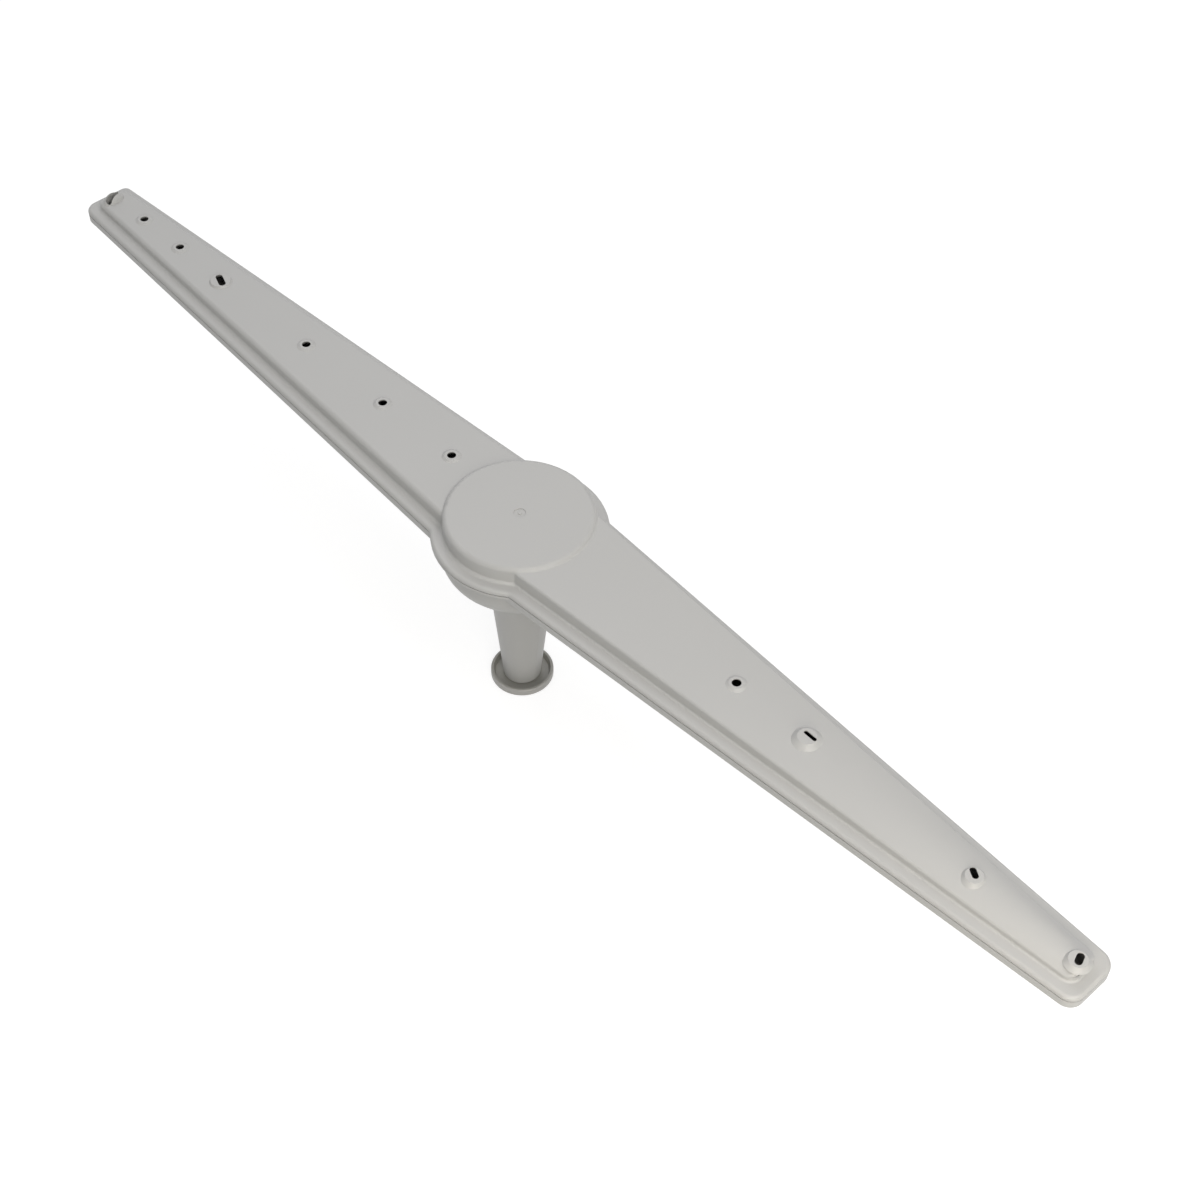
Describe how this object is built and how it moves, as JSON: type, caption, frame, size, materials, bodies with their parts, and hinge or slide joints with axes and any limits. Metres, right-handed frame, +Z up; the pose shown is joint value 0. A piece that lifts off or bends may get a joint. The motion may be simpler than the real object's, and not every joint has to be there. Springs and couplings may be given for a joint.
{
  "type": "dishwasher spray arm",
  "caption": "Two-bladed plastic dishwasher spray arm with raised hub disc, angled spray slots and round jets, on a tapering inlet neck that turns on a flanged bush.",
  "frame": {"origin": "centre of the bush's lower face, on the turning axis", "axes": "+Z up along the turning axis to the hub disc, +X along the blade with the crowned top, +Y across the blades"},
  "size_m": [0.4621, 0.058, 0.0792],
  "materials": {
    "upper_shell": "fine satin",
    "lower_shell": "fine satin",
    "bearing_bush": "fine satin"
  },
  "bodies": {
    "bearing": {"bearing_bush": "bearing_bush"},
    "arm": {"upper_shell": "upper_shell", "lower_shell": "lower_shell"}
  },
  "joints": [
    {"name": "arm_spin", "type": "hinge", "parent": "bearing", "child": "arm", "pos_m": [0, 0, 0], "axis": [0, 0, 1], "continuous": true}
  ]
}
